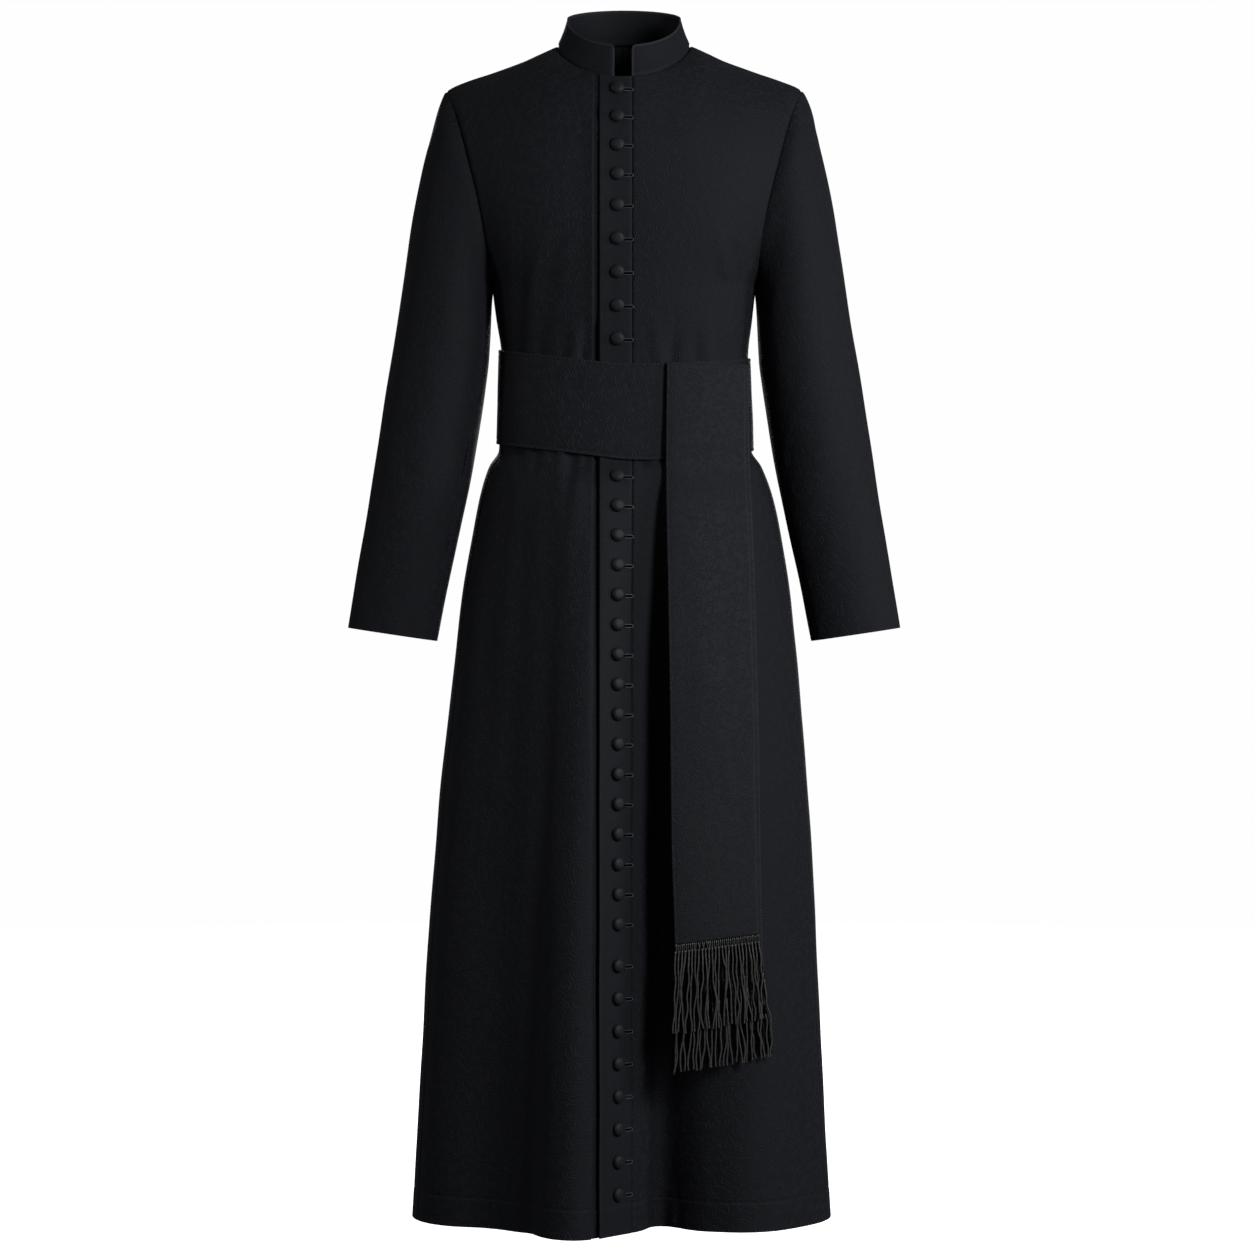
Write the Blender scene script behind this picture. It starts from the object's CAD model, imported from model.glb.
"""The looks of a black cassock: a full-length buttoned gown with a standing collar, and a cincture wound
round the waist with two fringed falls. It is filled out as worn, with no wearer.

Metres, +Z up, -Y the front and +X the wearer's left, as in the frame. Each piece of cloth is a thin wall on
the form of the solid that it stands for, drawn finer, with its seams, creases and sewn edges.
"""

import math
import random

import bpy
import numpy as np
from mathutils import Matrix, Vector


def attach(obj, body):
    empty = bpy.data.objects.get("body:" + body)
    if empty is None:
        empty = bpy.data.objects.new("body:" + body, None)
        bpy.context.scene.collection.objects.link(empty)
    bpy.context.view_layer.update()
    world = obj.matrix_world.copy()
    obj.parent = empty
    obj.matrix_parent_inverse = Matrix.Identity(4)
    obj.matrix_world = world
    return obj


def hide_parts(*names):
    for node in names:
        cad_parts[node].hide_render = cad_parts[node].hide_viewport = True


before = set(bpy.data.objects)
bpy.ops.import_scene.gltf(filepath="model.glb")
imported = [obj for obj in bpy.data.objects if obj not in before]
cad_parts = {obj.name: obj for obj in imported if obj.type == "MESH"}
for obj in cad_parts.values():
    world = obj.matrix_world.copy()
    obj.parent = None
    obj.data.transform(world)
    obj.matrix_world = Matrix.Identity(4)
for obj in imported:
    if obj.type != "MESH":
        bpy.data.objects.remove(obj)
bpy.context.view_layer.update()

# ------------------------------------------------------------------------------------------ the two fronts
# The gown's fronts are black worsted, cut in one from shoulder to hem and canvassed down the chest. They are
# seamed to the back, and the cincture draws them in, so short gathers stand above and below it.
MM = 0.001
GOWN_CLOTH = 1.6 * MM
HEM_Z, PIT_Z = -1.418, -0.292
HEM_TURNING = 34 * MM  # the hem's line of stitches above its edge
LAP_LEFT_X, LAP_RIGHT_X = -0.0290, 0.0097  # edges of the button placket
UNDERLAP_X = 0.0150  # the right front ends here, under the placket and the edge of the left front
NECK_SHARE = 0.45  # share of a panel's top edge that is neckline, the rest being shoulder
SIDE_SEAM_FORWARD = 0.16  # below the armpit the side seam swings this share of a quarter turn forward
SIDE_SEAM_SWING = 0.20  # over this height
GOWN_SLACK = 0.9 * MM


def table(names, *rows):
    """Columns of numbers by name."""
    return {name: np.array([row[i] for row in rows], float) for i, name in enumerate(names.split())}


BODY = table(
    "z         half_width front  back   square shift",
    (-1.4180, 0.2556, 0.1600, 0.2050, 2.60, -0.0030),
    (-1.2700, 0.2470, 0.1570, 0.1960, 2.60, -0.0027),
    (-1.0950, 0.2375, 0.1530, 0.1850, 2.60, -0.0020),
    (-0.9200, 0.2255, 0.1470, 0.1720, 2.55, 0.0000),
    (-0.8000, 0.2143, 0.1410, 0.1620, 2.50, 0.0014),
    (-0.7150, 0.2056, 0.1360, 0.1530, 2.50, 0.0028),
    (-0.6560, 0.1989, 0.1320, 0.1460, 2.50, 0.0034),
    (-0.5980, 0.1895, 0.1270, 0.1380, 2.50, 0.0034),
    (-0.5400, 0.1768, 0.1200, 0.1270, 2.50, 0.0028),
    (-0.5080, 0.1655, 0.1130, 0.1160, 2.50, 0.0018),
    (-0.4885, 0.1536, 0.1040, 0.1010, 2.50, 0.0012),
    (-0.4300, 0.1512, 0.1020, 0.0960, 2.50, 0.0010),
    (-0.3765, 0.1503, 0.1050, 0.0975, 2.50, 0.0008),
    (-0.3300, 0.1556, 0.1120, 0.1050, 2.45, 0.0004),
    (-0.2920, 0.1600, 0.1170, 0.1110, 2.40, 0.0000),
)
WAIST_TOP, WAIST_FOOT = -0.3765, -0.4885  # the stretch under the cincture, at the sides
WAIST_TILT, TILT_FADE = 0.0135, 0.0700  # the waist is lower at the front, and this dies away over a height

# Folds that fall from the waist: angle 0 is the centre front and 90 the left side, and depth is at the hem.
FOLD_GROWTH, FOLD_SHARPNESS = 0.75, 1.6
FOLDS = table(
    "angle  half_angle depth   top",
    (-14.0, 15.0, 0.0560, -0.500),
    (22.0, 16.0, -0.0440, -0.500),
    (48.0, 15.0, 0.0150, -0.560),
    (-50.0, 17.0, -0.0140, -0.560),
    (104.0, 15.0, -0.0140, -0.560),
    (128.0, 13.0, 0.0160, -0.540),
    (152.0, 13.0, -0.0220, -0.520),
    (176.0, 15.0, 0.0240, -0.520),
    (203.0, 14.0, -0.0240, -0.520),
    (228.0, 13.0, 0.0170, -0.540),
    (254.0, 15.0, -0.0130, -0.560),
)

CENTRE_FRONT = table(
    "z        y",
    (-0.2920, -0.1170),
    (-0.2200, -0.1220),
    (-0.1400, -0.1190),
    (-0.0850, -0.1080),
    (-0.0460, -0.0930),
)
CENTRE_BACK = table(
    "z        y",
    (-0.2920, 0.1110),
    (-0.2200, 0.1190),
    (-0.1300, 0.1160),
    (-0.0500, 0.0960),
    (0.0180, 0.0670),
)
SHOULDER = table(
    "x       z",
    (0.0815, 0.0050),
    (0.1025, -0.0050),
    (0.1220, -0.0146),
    (0.1610, -0.0290),
    (0.2000, -0.0420),
    (0.2170, -0.0525),
)
SHOULDER_TIP_Y = 0.0040
GRAIN_BOW = np.array([0.0260, 0.0, -0.0110])  # how far the cloth's lines swing round the side of the neck
ROUND_OVER = 1.3  # how late the chest and the back turn in towards the shoulder seam
CORNER_REACH = 0.26  # how far each way the corner of neck and shoulder is softened, as a share
CORNER_PARTS = [(step, (1 - abs(step)) / 4) for step in (-0.75, -0.5, -0.25, 0.0, 0.25, 0.5, 0.75)]
ARMHOLE_FRONT = (
    (0.1600, 0.0000, -0.2920),
    (0.1615, -0.0340, -0.2820),
    (0.1660, -0.0600, -0.2480),
    (0.1750, -0.0700, -0.2000),
    (0.1870, -0.0660, -0.1500),
    (0.1990, -0.0500, -0.1030),
    (0.2090, -0.0260, -0.0700),
    (0.2170, 0.0040, -0.0525),
)
ARMHOLE_BACK = (
    (0.1600, 0.0000, -0.2920),
    (0.1620, 0.0360, -0.2830),
    (0.1670, 0.0640, -0.2500),
    (0.1740, 0.0800, -0.2000),
    (0.1830, 0.0780, -0.1480),
    (0.1950, 0.0620, -0.1000),
    (0.2070, 0.0360, -0.0670),
    (0.2170, 0.0040, -0.0525),
)
NECK_BASE = dict(
    half_width=0.0815,
    front=0.0930,
    back=0.0670,
    z_front=-0.0460,
    z_side=0.0050,
    z_back=0.0180,
    front_rise=1.15,
    back_rise=2.0,
)


def curve(rows, column, key="z"):
    """A function that follows the column smoothly and never overshoots its rows."""
    xs, ys = rows[key], rows[column]
    slopes = np.diff(ys) / np.diff(xs)
    before, after = slopes[:-1], slopes[1:]
    same_way = before * after > 0
    inner = np.where(same_way, 2 * before * after / np.where(same_way, before + after, 1.0), 0.0)
    tangents = np.concatenate([slopes[:1], inner, slopes[-1:]])

    def at(x):
        x = np.clip(x, xs[0], xs[-1])
        k = np.clip(np.searchsorted(xs, x, side="right") - 1, 0, len(xs) - 2)
        step = xs[k + 1] - xs[k]
        t = (x - xs[k]) / step
        return (
            (2 * t**3 - 3 * t**2 + 1) * ys[k]
            + (t**3 - 2 * t**2 + t) * step * tangents[k]
            + (3 * t**2 - 2 * t**3) * ys[k + 1]
            + (t**3 - t**2) * step * tangents[k + 1]
        )

    return at


def run_along(points, axis):
    """How far each point is along its line of points, from the first."""
    steps = np.linalg.norm(np.diff(points, axis=axis), axis=-1)
    none = np.zeros_like(np.take(steps, [0], axis=axis))
    return np.concatenate([none, np.cumsum(steps, axis=axis)], axis=axis)


def places_on(line, run, at):
    """Points on a line, given how far along it each of its own points is."""
    return np.stack([np.interp(at, run, line[:, axis]) for axis in range(3)], axis=-1)


def unit(vectors):
    """The same directions, one unit long."""
    return vectors / np.linalg.norm(vectors, axis=-1, keepdims=True)


def sine_cosine(degrees):
    return np.sin(np.radians(degrees)), np.cos(np.radians(degrees))


def along(knots, share):
    """Points at those shares of a smooth curve's length through the knots."""
    knots = np.array(knots)
    ends = np.vstack([2 * knots[0] - knots[1], knots, 2 * knots[-1] - knots[-2]])
    t = np.linspace(0, 1, 8, endpoint=False)[:, None]
    spans = [
        0.5 * (2 * b + (c - a) * t + (2 * a - 5 * b + 4 * c - d) * t**2 + (3 * b - a - 3 * c + d) * t**3)
        for a, b, c, d in zip(ends, ends[1:], ends[2:], ends[3:])
    ]
    fine = np.vstack([*spans, knots[-1:]])
    run = run_along(fine, 0)
    return places_on(fine, run, np.asarray(share) * run[-1])


def ease(t):
    """0 to 1 with level ends."""
    t = np.clip(t, 0.0, 1.0)
    return t * t * (3 - 2 * t)


def mix(a, b, t):
    return a + (b - a) * t


body = {name: curve(BODY, name) for name in BODY if name != "z"}


def ring(angle, level, out=0.0):
    """Points on the gown below the armpit. The level is the height at the sides: the waist dips in front."""
    sine, cosine = sine_cosine(angle)
    reach = np.where(cosine >= 0, body["front"](level), body["back"](level))
    power = body["square"](level)
    section = (abs(sine) / body["half_width"](level)) ** power + (abs(cosine) / reach) ** power
    radius = section ** (-1 / power) + out
    for centre, half, depth, top in zip(*FOLDS.values()):
        away = (angle - centre + 180) % 360 - 180
        fallen = np.maximum(0.0, (top - level) / (top - HEM_Z))
        radius = radius + depth * fallen**FOLD_GROWTH * np.exp(-((away / half) ** 2) * FOLD_SHARPNESS)
    beyond_waist = np.maximum(np.maximum(level - WAIST_TOP, WAIST_FOOT - level), 0.0)
    dip = WAIST_TILT * ease(1 - beyond_waist / TILT_FADE) * cosine
    return np.stack([radius * sine + body["shift"](level), -radius * cosine, level - dip], axis=-1)


def neck_ring(form, turn):
    """Points on the neck base or the collar's top; turn 0 is the throat, 90 the left and 180 the nape."""
    sine, cosine = sine_cosine(turn)
    y = -np.where(cosine >= 0, form["front"], form["back"]) * cosine
    rise = abs(cosine) ** np.where(cosine >= 0, form["front_rise"], form["back_rise"])
    z = mix(form["z_side"], np.where(cosine >= 0, form["z_front"], form["z_back"]), rise)
    return np.stack([form["half_width"] * sine, y, z], axis=-1)


def shoulder_seam(share):
    share = np.clip(share, 0.0, 1.0)
    x = mix(SHOULDER["x"][0], SHOULDER["x"][-1], share)
    return np.stack([x, SHOULDER_TIP_Y * share, curve(SHOULDER, "z", key="x")(x)], axis=-1)


def upper(u, v, back):
    """The chest or back above the armpit, on the left: u goes out from the centre and v up, both to 1."""
    profile, knots = (CENTRE_BACK, ARMHOLE_BACK) if back else (CENTRE_FRONT, ARMHOLE_FRONT)
    centre = 180.0 if back else 0.0
    rise = np.sin(v * math.pi / 2)
    recede = (1 - np.cos(v * math.pi / 2)) ** ROUND_OVER
    weights = np.stack([rise, recede, rise], axis=-1)

    def top_edge(share):
        neck = neck_ring(NECK_BASE, mix(centre, 90.0, np.minimum(share / NECK_SHARE, 1.0)))
        shoulder = shoulder_seam((share - NECK_SHARE) / (1 - NECK_SHARE))
        return np.where((share < NECK_SHARE)[..., None], neck, shoulder)

    def blended(share):
        # Below the top edge, the corner between the neck and the shoulder softens.
        reach = np.minimum(CORNER_REACH * np.sqrt(np.maximum(0.0, 1 - v)), np.minimum(share, 1 - share))
        high = sum(top_edge(share + reach * step) * part for step, part in CORNER_PARTS)
        return mix(ring(mix(centre, 90.0, share), PIT_Z), high, weights)

    middle_z = mix(profile["z"][0], profile["z"][-1], rise)
    middle = np.stack([np.zeros_like(middle_z), curve(profile, "y")(middle_z), middle_z], axis=-1)
    sideways = np.stack([u, u * u, u * u], axis=-1)
    drawn_in = mix(middle - blended(np.zeros_like(u)), along(knots, v) - blended(np.ones_like(u)), sideways)
    swing = np.sin(math.pi * v * v) * np.sin(math.pi * u)
    return blended(u) + drawn_in + GRAIN_BOW * swing[..., None]


def panel_point(p, h, back=False):
    """The front, from p -1 at the right side seam to 1 at the left, or the back, from the left to the right.

    Below the armpit h is the height above it, a negative number; above it, the share of the way up.
    """
    below = ring((180 if back else 0) + 90 * p, PIT_Z + np.minimum(h, 0.0))
    side = np.where((p <= 0) == back, 1.0, -1.0)
    above = upper(np.clip(abs(p), 0.0, 1.0), np.clip(h, 0.0, 1.0), back)
    above = above * np.stack([side, np.ones_like(p), np.ones_like(p)], axis=-1)
    return np.where((h <= 0)[..., None], below, above)


def halved(low, high, short_of_it, times=30):
    """The place between low and high that isn't short of it any more, found by halving."""
    for _ in range(times):
        middle = (low + high) / 2
        short = short_of_it(middle)
        low, high = np.where(short, middle, low), np.where(short, high, middle)
    return (low + high) / 2


def share_at_x(x, h):
    """The p at which the front has that x."""
    reach = np.full_like(h, 0.6)
    return halved(-reach, reach, lambda p: panel_point(p, h)[..., 0] < x)


HEM_ROWS = HEM_Z + MM * np.array(
    [0.8, 1.6, 3.0, 6.0, 11.0, 17.0, 24.0, 29.0, 31.5, 33.0, 34.0, 35.0, 36.5, 40.0]
)
SKIRT_ROWS = np.arange(HEM_ROWS[-1] + 0.0065, -0.575, 0.0065)
WAIST_ROWS = np.arange(-0.575, -0.345, 0.0035)
CHEST_ROWS = np.arange(-0.345, PIT_Z, 0.0060)
SHOULDER_ROWS = np.concatenate([np.linspace(0.0, 0.975, 54), [0.985, 0.992, 0.996]])
BELOW_PIT = np.concatenate([HEM_ROWS, SKIRT_ROWS, WAIST_ROWS, CHEST_ROWS]) - PIT_Z
HEIGHTS = np.concatenate([BELOW_PIT, SHOULDER_ROWS])
EDGE = MM * np.array([0.35, 1.2, 2.2, 3.4, 5.0])  # columns from a sewn edge: the rims of two panels meet
SURVEY = np.linspace(0, 1, 161)  # shares of a row at which its length is measured


def lay_out(point_at, start, end, heights=HEIGHTS, near_start=EDGE, near_end=EDGE, count=88):
    """Lays columns over a panel by their distance along the cloth, from start to end of each row.

    Gives the points, and how far each is along the cloth from its row's start and from its end.
    """
    first, last = (np.broadcast_to(end_of_row, heights.shape)[:, None] for end_of_row in (start, end))
    shares = mix(first, last, SURVEY)
    run = run_along(point_at(shares, np.broadcast_to(heights[:, None], shares.shape)), 1)
    from_start = []
    for total in run[:, -1]:
        middle = np.linspace(near_start[-1], total - near_end[-1], count + 2)[1:-1]
        from_start.append(np.concatenate([near_start, middle, total - near_end[::-1]]))
    from_start = np.array(from_start)
    places = np.array([np.interp(a, b, c) for a, b, c in zip(from_start, run, shares)])
    grid = point_at(places, np.broadcast_to(heights[:, None], places.shape))
    return grid, from_start, run[:, -1:] - from_start


def facing(grid):
    """The outward direction at each point of a grid."""
    return unit(np.cross(np.gradient(grid, axis=1), np.gradient(grid, axis=0)))


def pushed(grid, push):
    """The grid moved out by so much at each point, the way it faces."""
    return grid + facing(grid) * push[..., None]


def climbed(grid):
    """How far each point is up its column, along the cloth."""
    return run_along(grid, 0)


def below_top(grid):
    """How far each point is down its column from the top, along the cloth."""
    return climbed(grid[::-1])[::-1]


def rolled(distance, depth=0.8 * MM, reach=1.6 * MM):
    """How the cloth turns in at a seam, by the distance from it."""
    return -depth * np.exp(-((distance / reach) ** 2))


def stitched(from_edge, line, drawn_in, reach, doubled, over=None):
    """An edge that is double outside its line of stitches, which draw the cloth in."""
    return rolled(from_edge - line, drawn_in, reach) + doubled * ease((line - from_edge) / (over or line))


def creased(x, z, marks):
    """Soft ridges and troughs, in millimetres: each runs from one place to another and changes its depth."""
    push = np.zeros_like(x)
    for x0, z0, x1, z1, width, first, last in zip(*marks.values()):
        run_x, run_z = x1 - x0, z1 - z0
        along_it = ((x / MM - x0) * run_x + (z / MM - z0) * run_z) / (run_x**2 + run_z**2)
        along_it = np.clip(along_it, 0.0, 1.0)
        away = (x / MM - x0 - along_it * run_x) ** 2 + (z / MM - z0 - along_it * run_z) ** 2
        push += MM * mix(first, last, along_it) * np.exp(-away / width**2)
    return push


def slack(x, z, amount, phase=0.7):
    """The slight unevenness of cloth that isn't stretched, the same on two panels where they meet.

    Its waves are about 20 cm long and more, with ripples of 8 cm and more on them.
    """
    wave = np.sin(31 * x + 12 * z + phase) * np.sin(17 * z - 9 * x + 2.1 * phase)
    ripple = np.sin(74 * x - 21 * z + 3.3 * phase) * np.sin(38 * z + 24 * x + phase)
    return amount * (0.7 * wave + 0.3 * ripple)


SHOULDER_TIP, TIP_REACH, PAD_REACH = np.array(ARMHOLE_FRONT[-1]), 16 * MM, 35 * MM
TIP_RISE = {1: 4.2 * MM, -1: 3.0 * MM}  # on the left and on the right
PAD_RISE = {1: 1.8 * MM, -1: 1.0 * MM}
TIP_SPREAD = 0.15  # the tip goes out by this share of its rise


def padded(grid):
    """How far the pad lifts the shoulder, most of all at its tip, where it keeps the corner crisp."""
    x = abs(grid[..., 0])
    from_tip = np.linalg.norm(np.stack([x, grid[..., 1], grid[..., 2]], axis=-1) - SHOULDER_TIP, axis=-1)
    from_seam = curve(SHOULDER, "z", key="x")(x) - grid[..., 2]
    on_shoulder = np.clip((x - SHOULDER["x"][0]) / (SHOULDER["x"][-1] - SHOULDER["x"][0]), 0.0, 1.0)
    left = grid[..., 0] > 0
    tip = np.where(left, TIP_RISE[1], TIP_RISE[-1]) * np.exp(-((from_tip / TIP_REACH) ** 2))
    pad = np.where(left, PAD_RISE[1], PAD_RISE[-1]) * np.exp(-((from_seam / PAD_REACH) ** 2))
    rise = tip + pad * np.sin(math.pi * on_shoulder)
    return np.stack([TIP_SPREAD * np.sign(grid[..., 0]) * tip, np.zeros_like(rise), rise], axis=-1)


HEM_STITCH = dict(drawn_in=0.5 * MM, reach=1.3 * MM, doubled=0.35 * MM, over=2 * MM)


def hem_relief(height_above_hem):
    return stitched(height_above_hem, HEM_TURNING, **HEM_STITCH)


RIM_TURNS = np.radians([45.0, 90.0, 135.0])
RUBBED_REACH = 1.5 * MM


def cloth_wall(name, grid, thick, finish, across, phase=0.0, rubbed=(0.0, 0.0, 0.0, 0.0), up=None):
    """A closed wall of cloth behind a grid of points, with rounded edges.

    rubbed says how much its first and last column and its first and last row are rubbed pale by wear.
    """
    rows, columns = grid.shape[:2]
    rows_run, columns_run = run_along(grid, 1), run_along(grid, 0)
    to_edges = (rows_run, rows_run[:, -1:] - rows_run, columns_run, columns_run[-1:] - columns_run)
    pale = np.max([part * np.exp(-((to / RUBBED_REACH) ** 2)) for part, to in zip(rubbed, to_edges)], axis=0)
    normals = facing(grid)
    off = np.zeros_like(grid)
    for last, next_in in ((0, 1), (-1, -2)):
        off[last] += unit(grid[last] - grid[next_in])
        off[:, last] += unit(grid[:, last] - grid[:, next_in])
    off -= normals * np.sum(off * normals, axis=-1, keepdims=True)
    index = np.arange(rows * columns).reshape(rows, columns)
    loop = np.concatenate([index[0, :-1], index[:-1, -1], index[-1, :0:-1], index[:0:-1, 0]])
    edge, out, normal = (a.reshape(-1, 3)[loop] for a in (grid, off, normals))
    rims = [
        edge + thick / 2 * (out * math.sin(turn) - normal * (1 - math.cos(turn)))
        for turn in RIM_TURNS
    ]
    points = np.vstack([grid.reshape(-1, 3), (grid - normals * thick).reshape(-1, 3), *rims])
    inner = rows * columns
    corners = [index[:-1, :-1], index[:-1, 1:], index[1:, 1:], index[1:, :-1]]
    outside, inside = (np.stack(order, axis=-1).reshape(-1, 4) for order in (corners, corners[::-1]))
    quads = [outside, inside + inner]
    first_rim = 2 * inner + np.arange(len(loop))
    loops = [loop, *(first_rim + k * len(loop) for k in range(len(rims))), inner + loop]
    for low, high in zip(loops, loops[1:]):
        quads.append(np.stack([low, high, np.roll(high, -1), np.roll(low, -1)], axis=-1))
    up = climbed(grid) if up is None else up
    weave = np.stack([across + phase, up, pale], axis=-1).reshape(-1, 3)
    weave = np.vstack([weave, weave, *[weave[loop]] * len(rims)])
    return solid(name, points, np.vstack(quads).tolist(), finish, weave)


def solid(name, points, faces, finish, weave):
    """An object from points and faces.

    weave holds each point's place on the flat cloth, in metres, and how much it is rubbed pale.
    """
    mesh = bpy.data.meshes.new(name)
    mesh.from_pydata(points.tolist(), [], faces)
    mesh.shade_smooth()
    mesh.attributes.new("weave", "FLOAT_VECTOR", "POINT").data.foreach_set("vector", weave.ravel())
    mesh.materials.append(finish)
    piece = bpy.data.objects.new(name, mesh)
    bpy.context.scene.collection.objects.link(piece)
    return piece


def stands_for(piece, slot, *nodes):
    """The piece rides on the one body, takes its finish from that slot and stands for those solids."""
    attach(piece, "root")
    if nodes:
        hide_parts(*nodes)


def cut_from(grid):
    across = np.linalg.norm(np.diff(grid, axis=1), axis=2)
    up = np.linalg.norm(np.diff(grid, axis=0), axis=2)


def linear(hex_colour):
    """A linear colour from sRGB hex."""
    parts = [int(hex_colour[i : i + 2], 16) / 255 for i in (1, 3, 5)]
    return (*((c + 0.055) ** 2.4 / 1.055**2.4 if c > 0.04045 else c / 12.92 for c in parts), 1.0)


def add(tree, kind, sockets=None, **properties):
    """Adds a shader node: its properties, and its sockets' values or the outputs that feed them."""
    made = tree.nodes.new("ShaderNode" + kind)
    for name, value in properties.items():
        setattr(made, name, value)
    for key, value in (sockets or {}).items():
        if isinstance(value, bpy.types.NodeSocket):
            tree.links.new(value, made.inputs[key])
        else:
            made.inputs[key].default_value = value
    return made


def new_finish(name, settings):
    """A new material with those settings on its shader, and its node tree and shader."""
    made = bpy.data.materials.new(name)
    made.use_nodes = True
    shader = made.node_tree.nodes["Principled BSDF"]
    for socket, value in settings.items():
        shader.inputs[socket].default_value = value
    return made, made.node_tree, shader


CURL_HALF = 0.8 * MM  # half the width of a curled thread
CURL_TURNS = 15.0  # each cell's random shade, times this, turns its thread
CURL_FADES = (0.44, 0.60)  # shares of a cell's width between which its thread ends


def curled_threads(tree, place, cell_mm, bend_mm, apart_mm):
    """Short curved threads of relief, one or a pair in each cell, every cell's turned its own way."""
    cells = add(tree, "TexVoronoi", {"Vector": place, "Scale": 1 / (cell_mm * MM)}, voronoi_dimensions="2D")
    middle = cells.outputs["Position"]
    from_middle = add(tree, "VectorMath", {0: place, 1: middle}, operation="SUBTRACT").outputs[0]
    turn = add(tree, "Math", {0: cells.outputs["Color"], 1: CURL_TURNS}, operation="MULTIPLY").outputs[0]
    turned = add(tree, "VectorRotate", {"Vector": from_middle, "Angle": turn}, rotation_type="Z_AXIS")
    pin = (bend_mm * MM, 0, 0)
    from_pin = add(tree, "VectorMath", {0: turned.outputs[0], 1: pin}, operation="SUBTRACT").outputs[0]
    reach = add(tree, "VectorMath", {0: from_pin}, operation="LENGTH").outputs["Value"]
    off = add(tree, "Math", {0: reach, 1: bend_mm * MM}, operation="SUBTRACT").outputs[0]
    beside = add(tree, "Math", {0: off}, operation="ABSOLUTE").outputs[0]
    paired = add(tree, "Math", {0: beside, 1: apart_mm / 2 * MM}, operation="SUBTRACT").outputs[0]
    away = add(tree, "Math", {0: paired}, operation="ABSOLUTE").outputs[0]
    ridge, within = (
        add(
            tree,
            "MapRange",
            {"Value": measure, "From Min": full, "From Max": gone, "To Min": 1.0, "To Max": 0.0},
            interpolation_type="SMOOTHSTEP",
        ).outputs[0]
        for measure, full, gone in ((away, 0.0, CURL_HALF), (cells.outputs["Distance"], *CURL_FADES))
    )
    return add(tree, "Math", {0: ridge, 1: within}, operation="MULTIPLY").outputs[0]


WAVE_BAND = 0.314  # how far apart a wave texture's bands are at scale 1
CREPE_SHINE = 0.48  # how much paler a curled thread is along its top
# Millimetres of a cell, of its thread's bend and between a pair of threads. Two more layers of single threads
# lie over the first, each moved aside.
PAIRED_CURLS = (13.0, 6.0, 3.2)
SINGLE_CURLS = (((0.317, 0.571, 0.0), 12.0, 9.0), ((0.713, 0.139, 0.0), 14.0, 5.0))
YARN_TONES, YARN_SHINE = 0.42, 0.05  # changes of tone in a millimetre, and of roughness with them
RUBBED_COLOUR = "#2E3037"
BLOOM = {"Sheen Weight": 0.03, "Sheen Roughness": 0.45, "Sheen Tint": linear("#C9CCD6")}


def woven(name, dark, light, roughness, gloss, line_mm, line_turn, crepe):
    """A closely woven black cloth: fine lines of weave, a crepe of curled threads and two tones of yarn."""
    made, tree, shader = new_finish(name, {"IOR": 1.5, "Specular IOR Level": gloss, **BLOOM})
    weave = add(tree, "Attribute", attribute_name="weave").outputs["Vector"]
    parts = add(tree, "SeparateXYZ", {0: weave}).outputs
    place = add(tree, "CombineXYZ", {"X": parts["X"], "Y": parts["Y"]}).outputs[0]
    turned = add(tree, "Mapping", {"Vector": place, "Rotation": (0, 0, math.radians(line_turn))}).outputs[0]
    wave = {"Scale": WAVE_BAND / (line_mm * MM), "Distortion": 1.2, "Detail": 2.0, "Detail Scale": 2.0}
    lines = add(tree, "TexWave", {"Vector": turned, **wave}).outputs["Fac"]
    curls = curled_threads(tree, place, *PAIRED_CURLS)
    for aside, cell_mm, bend_mm in SINGLE_CURLS:
        moved = add(tree, "VectorMath", {0: place, 1: aside}).outputs[0]
        more = curled_threads(tree, moved, cell_mm, bend_mm, 0.0)
        curls = add(tree, "Math", {0: curls, 1: more}, operation="MAXIMUM").outputs[0]
    yarns = add(tree, "TexNoise", {"Vector": place, "Scale": YARN_TONES / MM, "Detail": 2.0}).outputs["Fac"]
    shade = add(tree, "Mix", {0: yarns, 6: linear(dark), 7: linear(light)}, data_type="RGBA").outputs[2]
    shine = {0: curls, 1: CREPE_SHINE * crepe, 2: parts["Z"]}
    caught = add(tree, "Math", shine, operation="MULTIPLY_ADD", use_clamp=True).outputs[0]
    rubbed = add(tree, "Mix", {0: caught, 6: shade, 7: linear(RUBBED_COLOUR)}, data_type="RGBA")
    dulled = {"To Min": roughness - YARN_SHINE, "To Max": roughness + YARN_SHINE}
    dull = add(tree, "MapRange", {"Value": yarns, "From Min": 0.3, "From Max": 0.7, **dulled})
    crinkled = add(tree, "Bump", {"Height": curls, "Strength": crepe, "Distance": 0.6 * MM}).outputs[0]
    relief = {"Height": lines, "Strength": 0.14, "Distance": 0.25 * MM, "Normal": crinkled}
    ribbed = add(tree, "Bump", relief)
    tree.links.new(rubbed.outputs[2], shader.inputs["Base Color"])
    tree.links.new(dull.outputs[0], shader.inputs["Roughness"])
    tree.links.new(ribbed.outputs[0], shader.inputs["Normal"])
    return made


# Worsted: smooth combed wool in a steep 2/1 twill, matt with a little bloom where it turns away. The real
# twill is 0.5 mm wide, and is drawn at 2.2 mm so that it shows. The real crepe crinkles every millimetre or
# two, and its threads are drawn 12 to 14 mm apart for the same reason.
black_worsted = woven("black_worsted", "#0D0E12", "#1B1D23", 0.78, 0.22, 2.2, 63.0, 0.80)
# The collar and the placket are pressed flat over canvas, which takes the crinkle out.
pressed_worsted = woven("pressed_black_worsted", "#0F1014", "#1B1D23", 0.76, 0.22, 2.2, 63.0, 0.25)


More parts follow.
